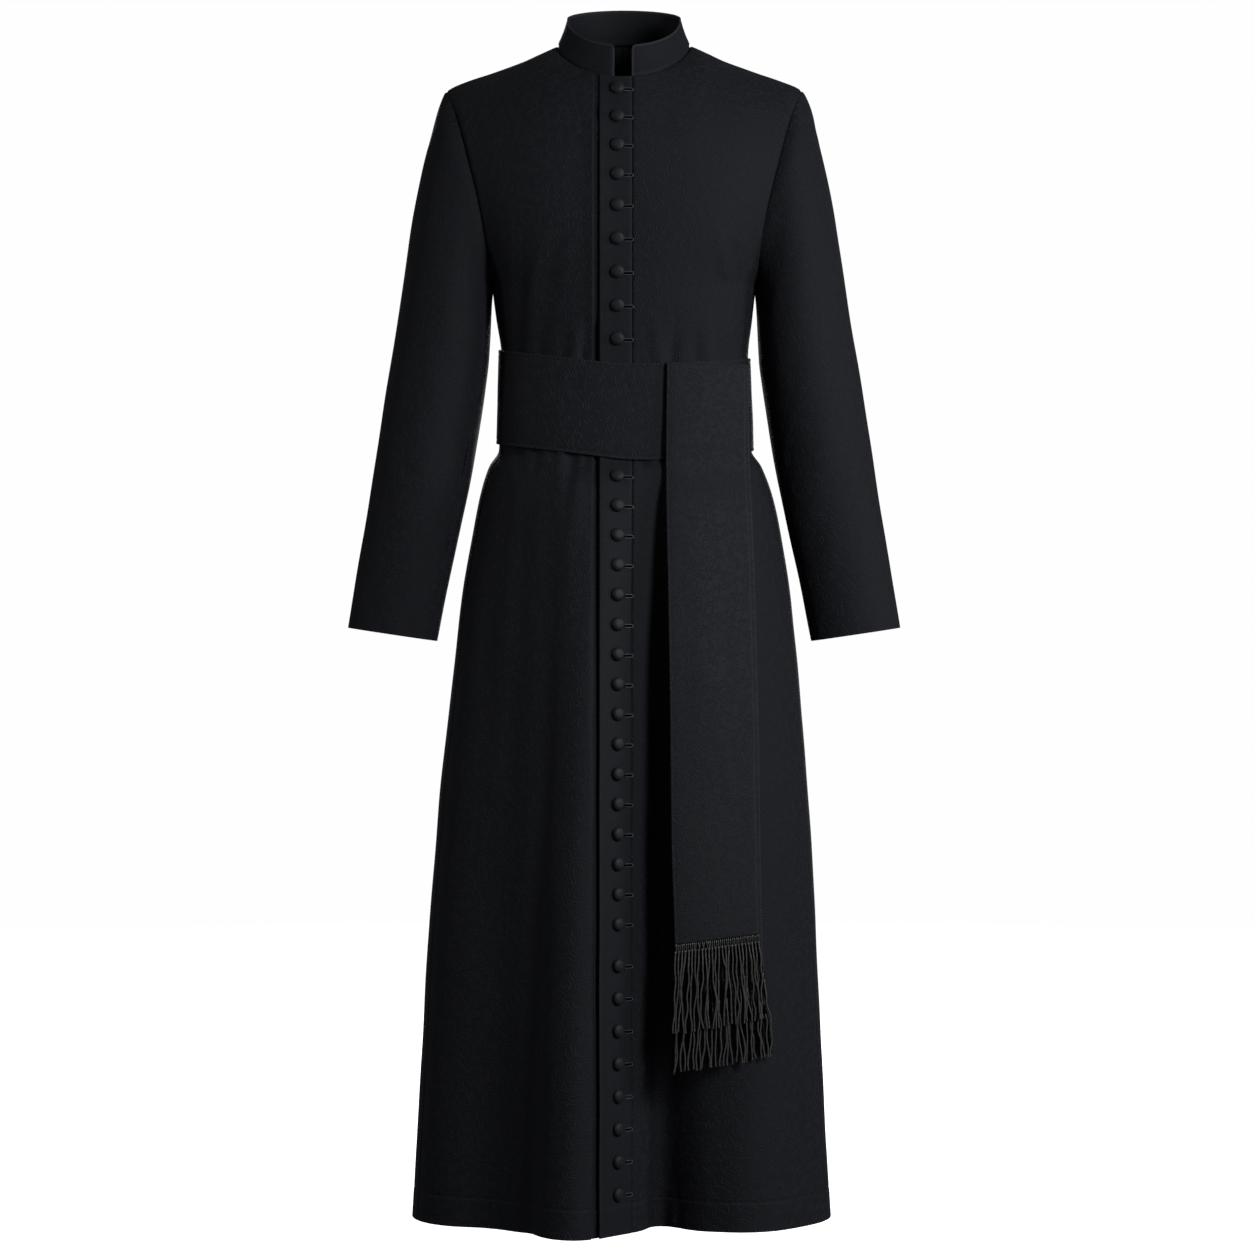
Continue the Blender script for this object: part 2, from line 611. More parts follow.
def side_seam(h):
    """How far forward of the side the seam lies, as a share of a quarter turn."""
    return SIDE_SEAM_FORWARD * ease(-h / SIDE_SEAM_SWING)


# Depth and reach of the cloth's turn at each seam, and of the armhole's wider roll.
NECK_SEAM, MIDDLE_SEAM, LAP_SEAM = (0.3 * MM, 2.0 * MM), (1.0 * MM, 1.4 * MM), (1.4 * MM, 1.5 * MM)
ARMHOLE_SEAM, ARMHOLE_ROLL = (2.1 * MM, 1.4 * MM), (3.0 * MM, 4.6 * MM)
hem_lines = []  # where the hem's stitches run on each panel
HEM_LINE_ROW = int(np.argmin(abs(HEM_ROWS - HEM_Z - HEM_TURNING)))


def gown_panel(name, node, grid, push, across, phase):
    """A panel of the gown, pushed out or in at each point and walled. Gives how far its points were moved."""
    push = push + hem_relief(climbed(grid)) + slack(grid[..., 0], grid[..., 2], GOWN_SLACK)
    push = push + rolled(below_top(grid), *NECK_SEAM)
    shaped = pushed(grid, push) + padded(grid)
    hem_lines.append(shaped[HEM_LINE_ROW])
    piece = cloth_wall(name, shaped, GOWN_CLOTH, black_worsted, across, phase, (0.0, 0.0, 0.15, 0.0))
    stands_for(piece, "gown_cloth", node)
    cut_from(shaped)
    return shaped - grid


def armhole_roll(distance):
    """The body's edge of the armhole turns in: not at all under the arm, and little at the shoulder's tip."""
    off_the_pit, at_the_tip = ease((HEIGHTS - 0.10) / 0.25), ease((HEIGHTS - 0.78) / 0.17)
    turned_in = rolled(distance, *ARMHOLE_ROLL) * (off_the_pit * mix(1.0, 0.1, at_the_tip))[:, None]
    return turned_in + rolled(distance, *ARMHOLE_SEAM) * mix(1.0, 0.9, at_the_tip)[:, None]


armhole_shift = {}  # how far the body's edge of the armhole was pushed, by its side and half

# The right front dips under the placket, whose free edge stands over it and shades it.
UNDERLAP_BEND_X, UNDERLAP_DIP_X, UNDERLAP_DROP = -0.0372, -0.0350, 0.0056
DROP_TOP_Z, DROP_OVER, DROP_AT_TOP = -0.055, 0.08, 0.3  # it dips less near the neck
UNDERLAP_STEPS = MM * np.array(
    [0.8, 14, 26, 36, 43, 47, 48.8, 49.7, 50.3, 50.8, 51.3, 51.8, 52.4, 53.2, 54.6, 57.0, 61.0]
)
RIGHT_FRONT_MARKS = table(
    "x     z     x1    z1    width from  to",
    (-78, -232, -91, -308, 9.0, -0.6, -2.2),
    (-93, -322, -104, -392, 9.0, -0.8, -3.4),
    (-99, -226, -110, -300, 7.5, 0.2, 2.4),
    (-112, -318, -118, -370, 7.5, 1.2, 0.2),
    (-122, -230, -128, -392, 9.0, -0.6, -3.2),
    (-44, -330, -49, -386, 5.0, 0.0, -3.6),
    (-57, -325, -59, -386, 6.5, 0.0, 1.8),
    (-70, -345, -73, -384, 5.5, 0.0, -2.4),
    (-128, -480, -122, -530, 6.0, -3.8, 0.0),
    (-103, -482, -107, -526, 5.5, -3.4, 0.0),
    (-84, -484, -86, -516, 5.0, -2.6, 0.0),
    (-61, -486, -68, -600, 7.5, -4.4, -0.4),
    (-92, -490, -100, -640, 12.0, 1.2, 0.2),
    (-75, -492, -84, -590, 8.5, 2.2, 0.0),
    (-43, -488, -49, -530, 5.0, -3.0, 0.0),
    (-150, -560, -172, -760, 12.0, 0.0, -1.6),
    (-118, -540, -128, -700, 14.0, 0.6, -1.4),
    (-62, -545, -84, -1418, 20.0, 9.5, 15.0),
    (-98, -560, -118, -1418, 22.0, 4.5, 8.5),
    (-150, -600, -176, -1418, 24.0, -1.0, -4.5),
    (-124, -506, -156, -900, 12.0, 1.8, 2.2),
    (-150, -120, -120, -190, 16.0, -0.8, 0.0),
    (-32, -110, -32, -330, 12.0, 3.0, 3.0),
)
grid, from_side, from_lap = lay_out(
    panel_point, side_seam(HEIGHTS) - 1.0, share_at_x(UNDERLAP_X, HEIGHTS), near_end=UNDERLAP_STEPS
)
push = creased(grid[..., 0], grid[..., 2], RIGHT_FRONT_MARKS)
push += armhole_roll(from_side)
under = ease((grid[..., 0] - UNDERLAP_BEND_X) / (UNDERLAP_DIP_X - UNDERLAP_BEND_X))
push -= UNDERLAP_DROP * under * mix(DROP_AT_TOP, 1.0, ease((DROP_TOP_Z - grid[..., 2]) / DROP_OVER))
moved = gown_panel("gown_right_front", "front_right", grid, push, -from_lap, 0.7)
armhole_shift[-1, "front"] = moved[:, 0]

LEFT_FRONT_MARKS = table(
    "x     z     x1    z1    width from  to",
    (31, -318, 44, -394, 7.0, 0.0, 2.2),
    (62, -325, 57, -396, 7.0, 0.0, -4.0),
    (86, -340, 86, -394, 7.0, 0.0, -3.0),
    (96, -330, 106, -392, 7.0, 0.2, 2.0),
    (118, -330, 120, -392, 6.5, 0.0, -2.8),
    (108, -215, 122, -280, 7.5, 0.0, 2.4),
    (134, -250, 138, -330, 7.0, -2.2, -0.6),
    (119, -300, 133, -392, 3.0, 0.0, 0.9),
    (22, -490, 24, -530, 5.5, -2.6, 0.0),
    (36, -490, 40, -522, 5.0, 1.6, 0.0),
    (150, -500, 168, -640, 10.0, 0.6, 0.0),
    (140, -500, 150, -600, 7.0, -1.6, 0.0),
    (45, -1366, 46, -1414, 4.5, 0.0, -2.6),
    (54, -1360, 55, -1414, 5.0, 0.0, 1.9),
    (63, -1374, 65, -1416, 4.5, 0.0, -2.0),
    (80, -1392, 81, -1416, 4.0, 0.0, -0.6),
    (160, -110, 126, -180, 16.0, -0.8, 0.0),
    (42, -540, 46, -1418, 17.0, -1.0, -8.0),
    (122, -1120, 132, -1418, 30.0, 0.5, 3.0),
    (86, -960, 92, -1418, 19.0, 0.5, 4.5),
)
grid, from_lap, from_side = lay_out(panel_point, share_at_x(LAP_RIGHT_X, HEIGHTS), 1.0 - side_seam(HEIGHTS))
push = creased(grid[..., 0], grid[..., 2], LEFT_FRONT_MARKS)
push += armhole_roll(from_side) + rolled(from_lap, *LAP_SEAM)
moved = gown_panel("gown_left_front", "front_left", grid, push, from_lap, 1.9)
armhole_shift[1, "front"] = moved[:, -1]

# --------------------------------------------------------------------------------------------- the back
# The back is the same worsted in two halves with a seam down the middle. It reaches round to side seams
# that lie a little forward of the sides, and it is gathered by the cincture as the fronts are.
BACK_MARKS = table(
    "x     z     x1    z1    width from  to",
    (-122, -300, -112, -366, 7.0, 0.0, -2.4),
    (-96, -318, -92, -366, 6.0, 0.0, 1.2),
    (-80, -290, -70, -366, 7.5, 0.0, -2.8),
    (-52, -330, -50, -366, 5.0, 0.0, -1.6),
    (-30, -310, -27, -366, 7.0, 0.0, 1.3),
    (-14, -325, -12, -366, 5.0, 0.0, -2.0),
    (20, -300, 17, -366, 6.5, 0.0, -2.4),
    (41, -325, 38, -366, 6.0, 0.0, 1.2),
    (66, -285, 60, -366, 8.0, 0.0, -2.9),
    (92, -320, 86, -366, 5.5, 0.0, 1.0),
    (118, -305, 108, -366, 6.5, 0.0, -2.2),
    (-118, -466, -124, -540, 6.0, -2.6, 0.0),
    (-95, -466, -99, -500, 5.0, -1.6, 0.0),
    (-74, -466, -80, -560, 7.0, -2.8, 0.0),
    (-46, -466, -48, -510, 5.0, -1.8, 0.0),
    (-20, -466, -22, -575, 7.5, -2.6, 0.0),
    (14, -466, 15, -520, 5.0, -1.9, 0.0),
    (38, -466, 42, -560, 7.0, -2.8, 0.0),
    (64, -466, 68, -508, 5.0, -1.7, 0.0),
    (90, -466, 98, -550, 6.5, -2.6, 0.0),
    (120, -466, 127, -520, 5.5, -2.0, 0.0),
    (-150, -110, -105, -190, 18.0, -1.0, 0.0),
    (148, -120, 112, -200, 18.0, -1.0, 0.0),
    (-60, -1372, -62, -1414, 5.0, 0.0, -1.4),
    (104, -1378, 106, -1414, 5.0, 0.0, -1.2),
)


def back_point(q, h):
    return panel_point(q, h, back=True)


middle = np.zeros_like(HEIGHTS)
left, left_from_side, left_from_middle = lay_out(back_point, -1.0 - side_seam(HEIGHTS), middle, count=70)
right, right_from_middle, right_from_side = lay_out(back_point, middle, side_seam(HEIGHTS) + 1.0, count=70)
grid = np.concatenate([left, right], axis=1)
across = np.concatenate([-left_from_middle, right_from_middle], axis=1)
push = creased(grid[..., 0], grid[..., 2], BACK_MARKS) + rolled(abs(across), *MIDDLE_SEAM)
push += armhole_roll(np.concatenate([left_from_side, right_from_side], axis=1))
moved = gown_panel("gown_back", "back", grid, push, across, 3.1)
armhole_shift[1, "back"], armhole_shift[-1, "back"] = moved[:, 0], moved[:, -1]

# ------------------------------------------------------------------------------------------- the sleeves
# Each sleeve is cut in two: the top sleeve goes round the outside of the arm and the under sleeve lies
# against the body. They are eased into the armhole, and the cuff is turned in and plain.
SLEEVE = table(
    "ring outer_x outer_z  inner_x inner_z  front   back",
    (0, 0.2170, -0.0525, 0.1600, -0.2920, 0.0700, 0.0800),
    (1, 0.2262, -0.0710, 0.1606, -0.3000, 0.0730, 0.0820),
    (2, 0.2345, -0.1000, 0.1616, -0.3110, 0.0750, 0.0830),
    (3, 0.2455, -0.1440, 0.1624, -0.3280, 0.0770, 0.0820),
    (4, 0.2550, -0.1930, 0.1630, -0.3500, 0.0780, 0.0790),
    (5, 0.2640, -0.2500, 0.1643, -0.3790, 0.0770, 0.0740),
    (6, 0.2738, -0.3150, 0.1687, -0.4150, 0.0750, 0.0670),
    (7, 0.2850, -0.3850, 0.1755, -0.4610, 0.0730, 0.0580),
    (8, 0.2962, -0.4600, 0.1850, -0.5150, 0.0710, 0.0480),
    (9, 0.3084, -0.5390, 0.1978, -0.5800, 0.0690, 0.0370),
    (10, 0.3208, -0.6180, 0.2122, -0.6480, 0.0670, 0.0260),
    (11, 0.3348, -0.7050, 0.2270, -0.7210, 0.0660, 0.0150),
)
ARMHOLE_KEPT = table("ring kept", (0, 1.0), (1, 0.60), (2, 0.32), (3, 0.14), (4, 0.05), (5, 0.0), (11, 0.0))
sleeve = {name: curve(SLEEVE, name, key="ring") for name in SLEEVE if name != "ring"}
SEAM_TURNS = (150.0, 240.0)  # where the under sleeve is let in; turn 0 is outermost and 90 is the front
SLEEVE_RINGS = np.concatenate(
    [[0.015, 0.06, 0.12, 0.20, 0.30], np.linspace(0.42, 10.90, 128), [10.94, 10.97, 10.99]]
)


def sleeve_oval(turn, number):
    """Points on the left sleeve as if its armhole were a plain oval too."""
    column = {name: at(number) for name, at in sleeve.items()}
    sine, cosine = sine_cosine(turn)
    x = mix(column["inner_x"], column["outer_x"], (1 + cosine) / 2)
    y = (column["back"] - column["front"]) / 2 - (column["front"] + column["back"]) / 2 * sine
    z = mix(column["inner_z"], column["outer_z"], (1 + cosine) / 2)
    return np.stack([x, y, z], axis=-1)


def sleeve_point(turn, number):
    """Points on the left sleeve: rings are numbered from the armhole, whose own shape dies away below it."""
    turn = turn % 360
    front = along(ARMHOLE_FRONT, 1 - np.minimum(turn, 180.0) / 180)
    back = along(ARMHOLE_BACK, np.maximum(turn - 180.0, 0.0) / 180)
    loop = np.where((turn <= 180)[..., None], front, back)
    kept = curve(ARMHOLE_KEPT, "kept", key="ring")(number)
    return sleeve_oval(turn, number) + kept[..., None] * (loop - sleeve_oval(turn, np.zeros_like(number)))


# Creases on a sleeve, by millimetres round it from the outermost line, the front being positive, and down it.
SLEEVE_MARKS = {
    1: table(
        "x     z     x1    z1    width from  to",
        (38, 30, 30, 140, 7.0, 1.1, 0.1),
        (62, 70, 46, 190, 9.0, -1.0, 0.0),
        (10, 60, 12, 170, 8.0, 0.7, 0.0),
        (150, 250, 96, 330, 12.0, -2.2, 0.0),
        (158, 300, 118, 360, 10.0, 1.4, 0.0),
        (160, 345, 100, 400, 10.0, -1.6, 0.2),
        (-150, 270, -90, 330, 12.0, -2.4, 0.0),
        (-150, 320, -80, 390, 10.0, 1.4, 0.0),
        (-40, 300, -20, 460, 16.0, -1.4, 0.0),
        (60, 420, 48, 600, 16.0, 1.2, 0.0),
    ),
    -1: table(
        "x     z     x1    z1    width from  to",
        (44, 24, 36, 120, 7.0, 1.0, 0.1),
        (22, 70, 16, 200, 9.0, 0.9, 0.0),
        (60, 90, 52, 180, 9.0, -0.9, 0.0),
        (152, 230, 100, 300, 12.0, -2.0, 0.0),
        (158, 275, 124, 330, 9.0, 1.3, 0.0),
        (160, 330, 96, 380, 10.0, -1.8, 0.2),
        (-150, 250, -96, 320, 12.0, -2.2, 0.0),
        (-152, 300, -84, 372, 10.0, 1.3, 0.0),
        (-30, 280, -14, 430, 16.0, -1.2, 0.0),
        (70, 400, 44, 590, 16.0, 1.3, 0.0),
    ),
}


def body_shift(side, turn):
    """How far the body's edge of the armhole was pushed at those turns, as if on the left."""
    turn = turn % 360
    share = abs(turn - 180) / 180
    front, back = (places_on(armhole_shift[side, half], HEIGHTS, share) for half in ("front", "back"))
    return np.where((turn <= 180)[..., None], front, back) * (side, 1, 1)


SLEEVE_SEAM, SLEEVE_ROLL = (2.0 * MM, 1.4 * MM), (2.6 * MM, 6.0 * MM)  # depth and reach
ARM_SEAM, ARM_SEAM_FROM = 0.6 * MM, 30 * MM  # the seams down the arm deepen over this stretch
SEWN_REACH = 7 * MM  # how far down the sleeve the armhole's seam draws it
SLEEVE_TUCK = 1.1 * MM  # how far its edge reaches in under the body's
HEAD_FULLNESS = {1: 1.9 * MM, -1: 0.2 * MM}
HEAD_MIDDLE, HEAD_REACH = 28 * MM, 24 * MM
UNDER_FROM = 0.19  # the under sleeve's first column, round the arm from the outermost line


def make_sleeve(side, place, start, end, columns):
    """One part of a sleeve, from one seam to the other."""
    grid, from_start, from_end = lay_out(sleeve_point, start, end, SLEEVE_RINGS, count=columns)
    down = climbed(grid)
    turn = mix(start, end, from_start / (from_start + from_end))
    outermost_column = np.argmin(abs(turn[0] - 360))
    round_it = from_start + (UNDER_FROM if place == "under" else -from_start[:, outermost_column, None])
    push = creased(round_it, down, SLEEVE_MARKS[side]) + slack(round_it, down, 1.0 * MM, 2.3 + side)
    push += (rolled(from_start, ARM_SEAM) + rolled(from_end, ARM_SEAM)) * ease(down / ARM_SEAM_FROM)
    # The top of the sleeve is eased in full and stands over the seam, which is deepest in front of the arm.
    outermost = np.cos(np.radians(turn))
    push += rolled(down, *SLEEVE_ROLL) * ease((outermost + 0.75) / 0.5) * (1 - ease(outermost * 2 - 1))
    push += rolled(down, *SLEEVE_SEAM) * ease((outermost + 0.9) / 0.3)
    full = np.exp(-(((down - HEAD_MIDDLE) / HEAD_REACH) ** 2))
    push += HEAD_FULLNESS[side] * full * np.maximum(0, outermost) ** 2
    shaped = pushed(grid, push) + padded(grid * (side, 1, 1)) * (side, 1, 1)
    # Its first rows go with the body's edge that they are sewn to, and reach in under it.
    to_body = unit(np.cross(np.gradient(grid[:1], axis=1), facing(grid)[:1]))
    sewn = grid[:1] + body_shift(side, turn[:1]) + SLEEVE_TUCK * to_body
    shaped += (sewn - shaped[:1]) * np.exp(-((down / SEWN_REACH) ** 2))[..., None]
    across = from_start
    if side < 0:
        shaped, across = shaped[:, ::-1] * (-1, 1, 1), across[:, ::-1]
    name = {1: "left", -1: "right"}[side]
    # The weave's lengthwise threads run straight down the arm.
    up = shaped @ unit((shaped[-1] - shaped[0]).mean(axis=0))
    rubbed = (0.0, 0.0, 0.0, 0.15)
    title = f"sleeve_{place}_panel_{name}"
    piece = cloth_wall(title, shaped, GOWN_CLOTH, black_worsted, across, 5.0 + side, rubbed, up)
    stands_for(piece, "gown_cloth", f"sleeve_{place}_{name}")
    cut_from(shaped)


for side in (1, -1):
    make_sleeve(side, "top", SEAM_TURNS[1], SEAM_TURNS[0] + 360, 70)
    make_sleeve(side, "under", SEAM_TURNS[0], SEAM_TURNS[1], 22)

# --------------------------------------------------------------------------------------------- the collar
# A standing collar of worsted over stiff canvas, bagged out so that its top edge and its ends roll over.
# Its front corners are rounded, and its ends stand apart at the throat.
COLLAR_CLOTH = 2.4 * MM
COLLAR_TOP = dict(
    half_width=0.0690,
    front=0.0800,
    back=0.0600,
    z_front=-0.0060,
    z_side=0.0390,
    z_back=0.0575,
    front_rise=0.90,
    back_rise=1.0,
)
COLLAR_ENDS_X = (0.0097, -0.0122)
COLLAR_BOW, COLLAR_CORNER = -0.0012, 0.0050
COLLAR_ROLL = 3.4 * MM  # the bagged edge is thickest outside this line
COLLAR_SEAM = (1.3 * MM, 0.9 * MM)  # depth and reach
COLLAR_STEPS = MM * np.array([1.2, 1.7, 2.4, 3.3, 4.5, 6.0, 8.0])
COLLAR_LEVELS = np.concatenate(  # its first row is sewn in under the gown's edge
    [[-0.030, 0.028, 0.05, 0.09], np.linspace(0.14, 0.84, 15), [0.875, 0.905, 0.93, 0.952, 0.971]]
)


def collar_point(turn, level):
    """Points on the collar: turn 0 is the throat, and level 0 its foot and 1 its top."""
    point = mix(neck_ring(NECK_BASE, turn), neck_ring(COLLAR_TOP, turn), level[..., None])
    return point + unit(point * (1, 1, 0)) * (COLLAR_BOW * np.sin(math.pi * level))[..., None]


half_widths = mix(NECK_BASE["half_width"], COLLAR_TOP["half_width"], COLLAR_LEVELS)
collar_ends = [np.degrees(np.arcsin(x / half_widths)) for x in COLLAR_ENDS_X]
grid, from_left, from_right = lay_out(
    collar_point, collar_ends[0], collar_ends[1] + 360, COLLAR_LEVELS, COLLAR_STEPS, COLLAR_STEPS, count=150
)
# The corners are rounded by lowering the rows near each end.
short = np.maximum(0.0, COLLAR_CORNER - np.minimum(from_left, from_right))
lowered = COLLAR_CORNER - np.sqrt(np.maximum(0.0, COLLAR_CORNER**2 - short**2))
height = climbed(grid)[-1]
foot = grid[:1]
grid = foot + (grid - foot) * (1 - (lowered / height) * COLLAR_LEVELS[:, None] ** 2)[..., None]
above_seam = np.maximum(climbed(grid) - climbed(grid)[1], 0.0)
push = rolled(above_seam, 0.6 * MM) + rolled(above_seam, *COLLAR_SEAM)
push += slack(3 * grid[..., 0], 3 * grid[..., 1], 0.3 * MM, 0.4)
from_edge = np.minimum(below_top(grid), np.minimum(from_left, from_right)) + COLLAR_CLOTH / 2
push += stitched(from_edge, COLLAR_ROLL, drawn_in=0.35 * MM, reach=1.0 * MM, doubled=0.35 * MM)
shaped = pushed(grid, push)
rubbed = (0.8, 0.8, 0.0, 0.8)
piece = cloth_wall("standing_collar", shaped, COLLAR_CLOTH, pressed_worsted, from_left, 7.0, rubbed)
stands_for(piece, "gown_cloth", "collar")
cut_from(shaped)

# The facing inside the nape: a narrow strip of the same cloth, felled down under the collar.
FACING_CLOTH, FACING_IN = 1.0 * MM, 1.2 * MM  # its thickness, and how far inside the back it lies
FACING_ENDS = 0.43
facing_rows = 1 - np.array([0.060, 0.055, 0.045, 0.032, 0.020, 0.010, 0.004])
grid, from_start, from_end = lay_out(back_point, -FACING_ENDS, FACING_ENDS, facing_rows, count=60)
middle_seam = rolled((from_start - from_end) / 2, -0.5 * MM, 1.2 * MM)
shaped = pushed(grid, -(GOWN_CLOTH + FACING_IN + middle_seam))
piece = cloth_wall("neck_facing", shaped, FACING_CLOTH, pressed_worsted, from_start, 8.0)
stands_for(piece, "gown_cloth")
cut_from(shaped)

# -------------------------------------------------------------------------------------------- the placket
# The strip that carries the buttons is a doubled fold of worsted down the middle of the front. Its right
# edge is seamed to the left front, and its left edge is free and stands over the right front.
PLACKET_CLOTH = 2.0 * MM
BUTTON_X = -0.0074
BUTTON_RUNS = table(
    "first    last     count",
    (-0.0602, -0.1650, 4),
    (-0.2020, -0.3600, 5),
    (-0.5240, -1.0534, 16),
    (-1.1020, -1.3700, 8),
)
button_heights = np.concatenate([np.linspace(a, b, int(n)) for a, b, n in zip(*BUTTON_RUNS.values())])
PLACKET_STEPS = MM * np.array([1.0, 1.6, 2.4, 3.6, 5.4])
PLACKET_TOP = 0.986  # its top edge lies just below the collar's seam
FREE_EDGE_LIFT, FREE_EDGE_REACH = 1.2 * MM, 9 * MM
DIMPLE, DIMPLE_REACH = 0.55 * MM, 9 * MM  # each button draws the cloth in
placket_heights = HEIGHTS[HEIGHTS < PLACKET_TOP]
grid, from_free, from_seam = lay_out(
    panel_point,
    share_at_x(LAP_LEFT_X, placket_heights),
    share_at_x(LAP_RIGHT_X, placket_heights),
    placket_heights,
    PLACKET_STEPS,
    EDGE,
    count=9,
)
push = rolled(from_free, -FREE_EDGE_LIFT, FREE_EDGE_REACH) + rolled(from_seam, *MIDDLE_SEAM)
push += hem_relief(climbed(grid)) * 0.5 + slack(grid[..., 0], grid[..., 2], GOWN_SLACK)
for z in button_heights:
    push += rolled(np.hypot(grid[..., 0] - BUTTON_X, grid[..., 2] - z), DIMPLE, DIMPLE_REACH)
placket_cut = pushed(grid, push)
rubbed = (0.15, 0.0, 0.1, 0.15)
placket = cloth_wall("button_placket", placket_cut, PLACKET_CLOTH, pressed_worsted, from_free, 9.0, rubbed)
stands_for(placket, "gown_cloth", "placket")

# -------------------------------------------------------------------------------------------- the buttons
# Each button is a domed mould covered with a disc of the gown's worsted, drawn in tight behind it and sewn
# on by a thread shank. Three more would lie hidden under the cincture.
BUTTON_RADIUS, BUTTON_RISE, BUTTON_EDGE = 8.3 * MM, 4.9 * MM, 2.1 * MM
BUTTON_SIDES, BUTTON_TUCKS, TUCK_DEPTH = 40, 15, 0.018
DOME_FULLNESS, FOOT_FULLNESS = 0.62, 0.8  # powers of its section: 1 would be a round one
BUTTON_SLOPES = np.radians([-62, -40, -18, 0, 12, 24, 36, 48, 59, 69, 78, 85])
BUTTON_SINK = 0.9 * MM  # the thread pulls its foot into the placket


def front_place(x, z):
    """The front's point, right, up and outward directions where it has that x and z."""
    foot, top = np.full_like(z, HEM_Z - PIT_Z), np.full_like(z, 0.999)
    h = halved(foot, top, lambda h: panel_point(share_at_x(x, h), h)[..., 2] < z)
    p = share_at_x(x, h)
    point = panel_point(p, h)
    right = unit(panel_point(p + 0.01, h) - point)
    outward = unit(np.cross(right, point - panel_point(p, h - 0.004)))
    return point, right, np.cross(outward, right), outward


def button_mesh():
    """A covered button: a dome over a rounded edge, with small tucks where the cover is drawn in."""
    turns = np.linspace(0, 2 * math.pi, BUTTON_SIDES, endpoint=False)
    points, faces = [], []
    for slope in BUTTON_SLOPES:
        radius = BUTTON_RADIUS * math.cos(slope) ** (DOME_FULLNESS if slope > 0 else FOOT_FULLNESS)
        height = BUTTON_EDGE + (BUTTON_RISE if slope > 0 else BUTTON_EDGE) * math.sin(slope)
        tuck = 1 + TUCK_DEPTH * max(0.0, -math.sin(slope)) * np.cos(BUTTON_TUCKS * turns)
        points += [(radius * t * math.cos(a), radius * t * math.sin(a), height) for a, t in zip(turns, tuck)]
    last = len(points) - BUTTON_SIDES
    for low in range(0, last, BUTTON_SIDES):
        for k in range(BUTTON_SIDES):
            n = (k + 1) % BUTTON_SIDES
            faces.append((low + k, low + n, low + n + BUTTON_SIDES, low + k + BUTTON_SIDES))
    points.append((0.0, 0.0, BUTTON_EDGE + BUTTON_RISE))
    faces += [(last + k, last + (k + 1) % BUTTON_SIDES, len(points) - 1) for k in range(BUTTON_SIDES)]
    faces.append(tuple(reversed(range(BUTTON_SIDES))))
    return np.array(points), faces


# The cover is cut from the gown's cloth, and stretched over the mould until it shines a little more.
button_cover = woven("button_cover_worsted", "#141519", "#1E2025", 0.60, 0.30, 1.4, 45.0, 0.0)
points, faces = button_mesh()
seats = front_place(np.full_like(button_heights, BUTTON_X), button_heights)
buttons = []
for number, (seat, right, up, outward) in enumerate(zip(*seats), start=1):
    if number == 1:
        button = solid("covered_button_01", points, faces, button_cover, points)
    else:
        button = bpy.data.objects.new(f"covered_button_{number:02d}", buttons[0].data)
        bpy.context.scene.collection.objects.link(button)
    turn = Matrix(np.stack([right, up, outward], axis=1).tolist()).to_4x4()
    button.matrix_world = Matrix.Translation(Vector(seat - outward * BUTTON_SINK)) @ turn
    bpy.context.view_layer.update()
    stands_for(button, "button_cloth", f"button_{number:02d}")
    buttons.append(button)

# ---------------------------------------------------------------------------------------- the buttonholes
# Beside each button is the end of its buttonhole, which crosses the seam: a cord of silk twist couched round
# a slit, worked just below the middle of the button.
LOOP_START, LOOP_MIDDLE, LOOP_END, LOOP_DROP = 0.2 * MM, 6 * MM, 11.2 * MM, 2.3 * MM
LOOP_HALF, TWIST_RADIUS, TWIST_LIFT = 1.75 * MM, 0.60 * MM, 0.35 * MM
STRAIGHT_STEPS = 12
SLIT_HALF, SLIT_TOP, SLIT_FOOT, SLIT_STEPS = 0.8 * LOOP_HALF, 0.45 * MM, 0.4 * MM, 6


def twisted_cords(name, paths, outward, radius, twist, finish, sides=8, ends=(1.0, 1.0), lobe=0.20):
    """Two-ply cords along paths of points: a cord's section has two lobes, and turns once in each twist."""
    points, faces = [], []
    for path in paths:
        path = np.asarray(path)
        tangent = unit(np.gradient(path, axis=0))
        side = unit(np.cross(tangent, outward))
        front = np.cross(side, tangent)
        run = run_along(path, 0)
        first = len(points)
        size = radius * np.ones(len(path))
        size[0], size[-1] = radius * ends[0], radius * ends[1]
        for centre, a, b, length, reach in zip(path, side, front, run, size):
            lobes = 2 * math.pi * length / twist
            for k in range(sides):
                turn = 2 * math.pi * k / sides
                out = reach * (1 - lobe + lobe * math.cos(2 * (turn - lobes)))
                points.append(centre + out * (math.cos(turn) * a + math.sin(turn) * b))
        for low in range(first, len(points) - sides, sides):
            for k in range(sides):
                n = (k + 1) % sides
                faces.append((low + n, low + k, low + k + sides, low + n + sides))
        faces.append(tuple(range(first, first + sides)))
        faces.append(tuple(reversed(range(len(points) - sides, len(points)))))
    points = np.array(points)
    return solid(name, points, faces, finish, points)


